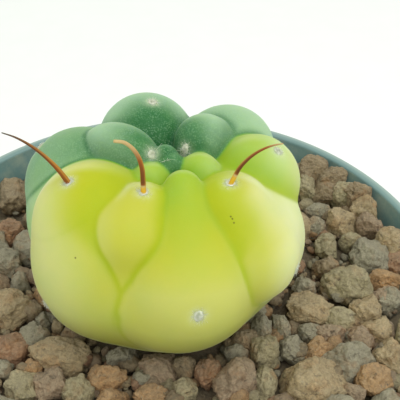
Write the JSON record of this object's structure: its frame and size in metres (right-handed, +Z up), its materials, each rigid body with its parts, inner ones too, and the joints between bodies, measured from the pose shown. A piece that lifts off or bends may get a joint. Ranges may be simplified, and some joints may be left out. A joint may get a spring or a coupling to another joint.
{
  "type": "potted variegated cactus",
  "caption": "Small globular cactus in yellow and green with swollen tubercles, wool pads and curved spines, standing in lava grit in a round tapered plastic pot.",
  "frame": {"origin": "centre of the pot's foot, on the surface that it stands on", "axes": "+Z up through the pot's axis; -Y is the front of the plant, where the tall front tubercles are; +X is to the right seen from the front"},
  "size_m": [0.09, 0.09, 0.1065],
  "materials": {
    "pot_plastic": "satin moulded plastic, slate teal",
    "potting_mix": "loose dark potting mix",
    "lava_grit": "rough porous grit, tan, grey and reddish",
    "cactus_skin": "smooth waxy living skin, yellow with dark green",
    "areole_wool": "white felted wool",
    "spine": "hard horny spine, reddish brown with an orange base"
  },
  "bodies": {
    "root": {"pot": "pot_plastic", "potting_mix": "potting_mix", "grit_dressing": "lava_grit", "cactus_body": "cactus_skin", "wool_pad_back": "areole_wool", "wool_pad_backRight": "areole_wool", "wool_pad_innerRight": "areole_wool", "wool_pad_innerLeft": "areole_wool", "wool_pad_outerLeft": "areole_wool", "wool_pad_frontLeft": "areole_wool", "wool_pad_frontMiddle": "areole_wool", "wool_pad_frontRight": "areole_wool", "wool_pad_outerRight": "areole_wool", "wool_pad_lowFront": "areole_wool", "wool_pad_lowRight": "areole_wool", "wool_pad_lowFrontLeft": "areole_wool", "wool_pad_lowLeft": "areole_wool", "wool_pad_lowBackLeft": "areole_wool", "wool_pad_lowBack": "areole_wool", "wool_pad_lowBackRight": "areole_wool", "spine_left": "spine", "spine_middle": "spine", "spine_right": "spine"}
  },
  "joints": []
}
